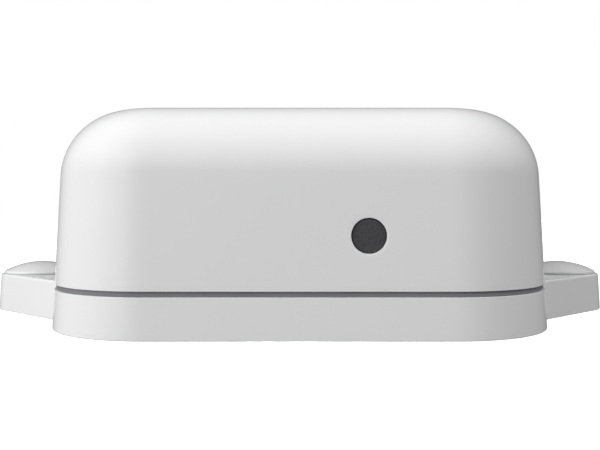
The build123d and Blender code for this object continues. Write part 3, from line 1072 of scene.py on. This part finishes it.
    def ear_pocket(self, sketch: Sketch, turn: int, outline: list[Point]) -> list[Vector]:
        """Draws an ear's top, which runs in to the screw's pocket and its hole.

        Args:
            sketch: The mesh to draw in.
            turn: Quarter turns from the +X side.
            outline: The outline of the top.

        Returns:
            The mounting hole's mouth in the underside.
        """
        home = self.housing
        turns = [atan2(y, x - self.ear_x) for x, y in outline]
        pocket_floor = self.ear_top - self.pocket_depth
        section = [
            Corner(self.pocket_radius + 2 * self.mouth_round, self.ear_top),
            Corner(self.pocket_radius, self.ear_top, self.mouth_round),
            Corner(self.pocket_radius, pocket_floor),
            Corner(self.mounting_radius, pocket_floor),
            Corner(self.mounting_radius, 0.0, self.mouth_round),
            Corner(self.mounting_radius + 2 * self.mouth_round, 0.0),
        ]
        rings = [[home.turned(p, turn, self.ear_top) for p in outline]]
        for radius, z in rounded(section)[1:-1]:
            ring = [(self.ear_x + radius * cos(a), radius * sin(a)) for a in turns]
            rings.append([home.turned(p, turn, z) for p in ring])
        sketch.skin(rings)
        return rings[-1]


@dataclass(frozen=True)
class SealBand(DrawnPart):
    """The seal: a soft band that shows between the rims, with a bead down in the base's groove."""

    housing: Housing
    bead_bottom: float
    setback: float = 0.25 * MM
    edge_round: float = 0.12 * MM
    bead_inset: float = 1.1 * MM
    bead_width: float = 1.2 * MM

    def build(self) -> bpy.types.Object:
        """Draws the band's section round the plan, and dresses it.

        Returns:
            The finished seal.
        """
        home = self.housing
        outer = home.lean(home.cover_bottom)
        bead = home.lean(home.rim) + self.bead_inset
        section = rounded(
            [
                Corner(bead, home.rim),
                Corner(outer + self.setback, home.rim, self.edge_round),
                Corner(outer + self.setback, home.cover_bottom, self.edge_round),
                Corner(outer + home.rim_width, home.cover_bottom),
                Corner(outer + home.rim_width, home.rim),
                Corner(bead + self.bead_width, home.rim),
                Corner(bead + self.bead_width, self.bead_bottom, self.edge_round),
                Corner(bead, self.bead_bottom, self.edge_round),
                Corner(bead, home.rim),
            ]
        )
        sketch = Sketch()
        sketch.skin([home.ring(inset, z, [[], [], [], []]) for inset, z in section])
        return self.dress(sketch.build("seal_band"), Slot.GREY_SEAL, "seal")


@dataclass(frozen=True)
class ScrewCap(DrawnPart):
    """A hollow plug with a domed head that sits on its ear, rounded under its rim."""

    node: str
    seat: float
    edge: float = 0.45 * MM
    edge_round: float = 0.15 * MM
    rim_round: float = 0.35 * MM
    rim_steps: int = 6
    plug_radius: float = 4.9 * MM
    plug_wall: float = 0.8 * MM
    plug_round: float = 0.1 * MM
    crown_radius: float = 0.25 * MM
    dome_steps: int = 18
    turn_steps: int = 96

    def build(self) -> bpy.types.Object:
        """Turns the cap's section round its axis, and dresses it.

        Returns:
            The finished cap.
        """
        low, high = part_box(self.node)
        centre = ((low.x + high.x) / 2, (low.y + high.y) / 2)
        radius = (high.y - low.y) / 2
        ceiling = self.seat + self.edge
        rise = high.z - ceiling
        ball = (radius**2 + rise**2) / (2 * rise)
        dome = []
        for step in range(self.dome_steps):
            out = self.crown_radius + (radius - self.crown_radius) * step / self.dome_steps
            dome.append((out, high.z - ball + sqrt(ball**2 - out**2)))
        inner = self.plug_radius - self.plug_wall
        skirt = rounded(
            [
                Corner(*dome[-1]),
                Corner(radius, ceiling, self.edge_round),
                Corner(radius, self.seat, self.rim_round, self.rim_steps),
                Corner(self.plug_radius, self.seat),
                Corner(self.plug_radius, low.z, self.plug_round),
                Corner(inner, low.z, self.plug_round),
                Corner(inner, ceiling),
            ]
        )
        sketch = Sketch()
        rings = [circle(centre, out, z, self.turn_steps) for out, z in [*dome[:-1], *skirt]]
        sketch.solid(rings)
        return self.dress(sketch.build(f"{self.node}_domed"), Slot.WHITE_HOUSING, self.node)


@dataclass(frozen=True)
class PortFilter(DrawnPart):
    """The stepped porous plug that closes the sensing port."""

    port_radius: float
    clearance: float = 0.12 * MM
    # How much higher the port and its filter are drawn than the solids
    lift: float = 0.12 * MM
    flange: float = 1.2 * MM
    edge_round: float = 0.08 * MM
    turn_steps: int = 64

    def build(self) -> bpy.types.Object:
        """Turns the plug's section round the port's axis, and dresses it.

        Returns:
            The finished filter.
        """
        low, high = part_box("port_filter")
        x, z = (low.x + high.x) / 2, (low.z + high.z) / 2 + self.lift
        flange_radius = (high.x - low.x) / 2
        face = self.port_radius - self.clearance
        shoulder = high.y - self.flange
        section = rounded(
            [
                Corner(face / 2, low.y),
                Corner(face, low.y, self.edge_round),
                Corner(face, shoulder),
                Corner(flange_radius, shoulder, self.edge_round),
                Corner(flange_radius, high.y, self.edge_round),
                Corner(face / 2, high.y),
            ]
        )
        turns = [2 * pi * step / self.turn_steps for step in range(self.turn_steps)]
        rings = [[Vector((x + r * cos(a), y, z + r * sin(a))) for a in turns] for r, y in section]
        sketch = Sketch()
        sketch.solid(rings)
        return self.dress(sketch.build("port_filter_disc"), Slot.DARK_FILTER, "port_filter")


@dataclass(frozen=True)
class CoverScrews(DrawnPart):
    """Four socket screws sunk in the back, with a rounded head and a plain shank."""

    housing: Housing
    head_radius: float = 2.7 * MM
    head_height: float = 2.0 * MM
    head_round: float = 0.35 * MM
    shank_radius: float = 1.45 * MM
    tip_bevel: float = 0.5 * MM
    socket_radius: float = 1.3 * MM
    socket_depth: float = 1.2 * MM
    socket_bevel: float = 0.12 * MM

    def build(self) -> bpy.types.Object:
        """Draws the four screws as one piece, and dresses them.

        Returns:
            The finished screws.
        """
        low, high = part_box("cover_screws")
        face, tip = low.z, high.z
        shoulder = face + self.head_height
        outside = rounded(
            [
                Corner(self.socket_radius + self.socket_bevel, face),
                Corner(self.head_radius, face, self.head_round),
                Corner(self.head_radius, shoulder),
                Corner(self.shank_radius, shoulder),
                Corner(self.shank_radius, tip - self.tip_bevel),
                Corner(self.shank_radius - self.tip_bevel, tip),
            ]
        )
        sketch = Sketch()
        for place in self.housing.screw_places:
            socket = [
                self.hexagon(place, self.socket_radius, face + self.socket_depth),
                self.hexagon(place, self.socket_radius, face + self.socket_bevel),
            ]
            rings = [circle(place, radius, z, self.housing.hole_steps) for radius, z in outside]
            sketch.solid([*socket, *rings])
        return self.dress(sketch.build("cover_screw_set"), Slot.PLATED_STEEL, "cover_screws")

    def hexagon(self, place: Point, radius: float, z: float) -> list[Vector]:
        """Draws a level hexagon with as many points as a circle has.

        Args:
            place: Its centre seen from above.
            radius: The distance of its corners.
            z: Its height.

        Returns:
            The hexagon's points.
        """
        ring = []
        for step in range(self.housing.hole_steps):
            angle = 2 * pi * step / self.housing.hole_steps
            reach = radius * cos(pi / 6) / cos(angle % (pi / 3) - pi / 6)
            ring.append(Vector((place[0] + reach * cos(angle), place[1] + reach * sin(angle), z)))
        return ring


@dataclass(frozen=True)
class InnerParts:
    """The boards, the cell and the small parts sealed inside, which keep their solids."""

    nodes: dict[str, bpy.types.Object]
    subparts: list[dict[str, Any]]

    def dress(self) -> list[bpy.types.Object]:
        """Gives each solid that still shows the finish of its slot.

        Returns:
            The dressed solids.
        """
        dressed = []
        for subpart in self.subparts:
            solid = self.nodes[subpart["node"]]
            if solid.hide_render:
                continue
            solid.data.materials.clear()
            solid.data.materials.append(FINISHES[Slot(subpart["material_slot"])].material())
            dressed.append(solid)
        return dressed


class SoftLight(NamedTuple):
    """A square soft box: its place seen from the object, its size and power, and if surfaces mirror it."""

    name: str
    towards: tuple[float, float, float]
    distance: float
    size: float
    watts: float
    mirrored: bool = False


@dataclass(frozen=True)
class FloorPaint:
    """Pale matt paint that glows, seen from above only: a floor as white as what lies behind it."""

    name: str = "pale_floor_paint"
    colour: str = "#C0C0C0"
    glow_colour: str = "#FFFFFF"
    # It glows a little less near the object, where soft boxes light it too, so that shadows stay faint
    near_glow: float = 0.86
    far_glow: float = 1.0
    near_reach: float = 80 * MM
    far_reach: float = 240 * MM

    def material(self) -> bpy.types.Material:
        """Makes the paint.

        Returns:
            The Blender material.
        """
        paint = bpy.data.materials.new(self.name)
        paint.use_nodes = True
        tree = paint.node_tree
        shader = tree.nodes["Principled BSDF"]
        shader.inputs["Base Color"].default_value = linear(self.colour)
        shader.inputs["Roughness"].default_value = 1.0
        shader.inputs["Specular IOR Level"].default_value = 0.0
        shader.inputs["Emission Color"].default_value = linear(self.glow_colour)
        place = add_node(tree, "ShaderNodeTexCoord").outputs["Object"]
        reach = add_node(tree, "ShaderNodeVectorMath", {0: place}, operation="LENGTH")
        spread = {
            "Value": reach.outputs["Value"],
            "From Min": self.near_reach,
            "From Max": self.far_reach,
            "To Min": self.near_glow,
            "To Max": self.far_glow,
        }
        glow = add_node(tree, "ShaderNodeMapRange", spread)
        tree.links.new(glow.outputs["Result"], shader.inputs["Emission Strength"])
        clear = add_node(tree, "ShaderNodeBsdfTransparent")
        below = add_node(tree, "ShaderNodeNewGeometry")
        sides = {0: below.outputs["Backfacing"], 1: shader.outputs["BSDF"], 2: clear.outputs["BSDF"]}
        seen = add_node(tree, "ShaderNodeMixShader", sides)
        tree.links.new(seen.outputs["Shader"], tree.nodes["Material Output"].inputs["Surface"])
        return paint


@dataclass(frozen=True)
class Studio:
    """The camera, the soft boxes, the pale floor and the white surroundings."""

    aim: Vector
    eye_distance: float = 154.2 * MM
    eye_height: float = 19.43 * MM
    lens: float = 48.0
    nearest: float = 1 * MM
    shift: Point = (0.0005, -0.0317)
    floor_radius: float = 3.0
    floor_drop: float = 0.02 * MM
    floor_steps: int = 48
    floor_paint: FloorPaint = FloorPaint()
    backdrop: str = "#FFFFFF"
    # Only the small box below is mirrored, by the plated screws: the others would streak the smooth housing
    lights: tuple[SoftLight, ...] = (
        SoftLight("left_front", (-0.8, -0.6, 0.3), 0.9, 0.8, 9.8),
        SoftLight("left_top", (-0.7, 0.0, 0.7), 0.9, 0.8, 4.0),
        SoftLight("right_high", (0.75, -0.35, 0.55), 0.9, 0.8, 4.8),
        SoftLight("right_top", (0.7, 0.0, 0.7), 0.9, 0.8, 3.5),
        SoftLight("back_low", (0.0, 1.0, -0.25), 0.9, 0.8, 5.5),
        SoftLight("under", (0.0, 0.0, -1.0), 0.4, 0.08, 1.2, mirrored=True),
    )

    def build(self) -> None:
        """Sets up the whole studio."""
        self.camera()
        for light in self.lights:
            self.light(light)
        self.surroundings()
        self.floor()

    def camera(self) -> None:
        """Puts a level camera in front of the port's side."""
        lens = bpy.data.cameras.new("camera")
        lens.lens = self.lens
        lens.shift_x, lens.shift_y = self.shift
        lens.clip_start = self.nearest
        eye = bpy.data.objects.new("camera", lens)
        eye.location = (0.0, -self.eye_distance, self.eye_height)
        eye.rotation_euler = (pi / 2, 0.0, 0.0)
        bpy.context.scene.collection.objects.link(eye)
        bpy.context.scene.camera = eye

    def light(self, light: SoftLight) -> None:
        """Hangs a soft box that faces the object.

        Args:
            light: What to hang.
        """
        lamp = bpy.data.lights.new(light.name, "AREA")
        lamp.size = light.size
        lamp.energy = light.watts
        away = Vector(light.towards).normalized()
        stand = bpy.data.objects.new(light.name, lamp)
        stand.location = self.aim + away * light.distance
        stand.rotation_euler = away.to_track_quat("Z", "Y").to_euler()
        stand.visible_camera = False
        stand.visible_glossy = light.mirrored
        bpy.context.scene.collection.objects.link(stand)

    def surroundings(self) -> None:
        """Shows white behind the object, without lighting it."""
        world = bpy.data.worlds.new("white_surroundings")
        bpy.context.scene.world = world
        world.use_nodes = True
        world.node_tree.nodes["Background"].inputs["Color"].default_value = linear(self.backdrop)
        world.cycles_visibility.diffuse = False
        world.cycles_visibility.glossy = False
        bpy.context.scene.view_settings.view_transform = "Standard"

    def floor(self) -> None:
        """Lays the floor, which neither lights the object nor shows in it."""
        disc = bpy.data.meshes.new("floor")
        edge = circle((0.0, 0.0), self.floor_radius, -self.floor_drop, self.floor_steps)
        disc.from_pydata(edge, [], [range(self.floor_steps)])
        floor = bpy.data.objects.new("floor", disc)
        bpy.context.scene.collection.objects.link(floor)
        disc.materials.append(self.floor_paint.material())
        floor.visible_diffuse = False
        floor.visible_glossy = False
        floor.visible_shadow = False
        floor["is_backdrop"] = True


def main() -> None:
    """Builds the sensor piece by piece, then the studio round it."""
    logging.basicConfig(level=logging.INFO, format="%(message)s")
    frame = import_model()
    cad_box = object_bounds()
    base_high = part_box("base")[1]
    cover_low, cover_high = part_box("cover")
    screws_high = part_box("cover_screws")[1]
    filter_low, filter_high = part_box("port_filter")
    cap_low, cap_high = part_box("screw_cap_right")
    housing = Housing(
        half_width=base_high.y,
        cover_bottom=cover_low.z,
        height=cover_high.z,
        screw_reach=screws_high.x - CoverScrews.head_radius,
    )
    cover = CoverShell(
        housing,
        port_x=(filter_low.x + filter_high.x) / 2,
        port_z=(filter_low.z + filter_high.z) / 2 + PortFilter.lift,
        filter_seat=filter_high.y - PortFilter.flange,
        collar_face=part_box("filter_ring")[1].y,
    )
    base = BaseTray(
        housing,
        ear_x=(cap_low.x + cap_high.x) / 2,
        ear_tip=base_high.x,
        board_screws_end=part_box("board_screws")[1].x,
        standoff_top=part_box("circuit_board")[0].z,
    )
    seal = SealBand(housing, bead_bottom=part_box("seal")[0].z)
    caps = [ScrewCap(node, seat=base.ear_top) for node in ("screw_cap_left", "screw_cap_right")]
    drawn: list[DrawnPart] = [cover, base, seal, *caps, PortFilter(cover.port_radius), CoverScrews(housing)]
    pieces = [part.build() for part in drawn]
    pieces += InnerParts(frame["nodes"], frame["record"]["subparts"]).dress()
    for piece in pieces:
        log.info("%s: %d faces, %s", piece.name, len(piece.data.polygons), piece.active_material.name)
    Studio(aim=(cad_box[0] + cad_box[1]) / 2).build()


if __name__ == "__main__":
    main()
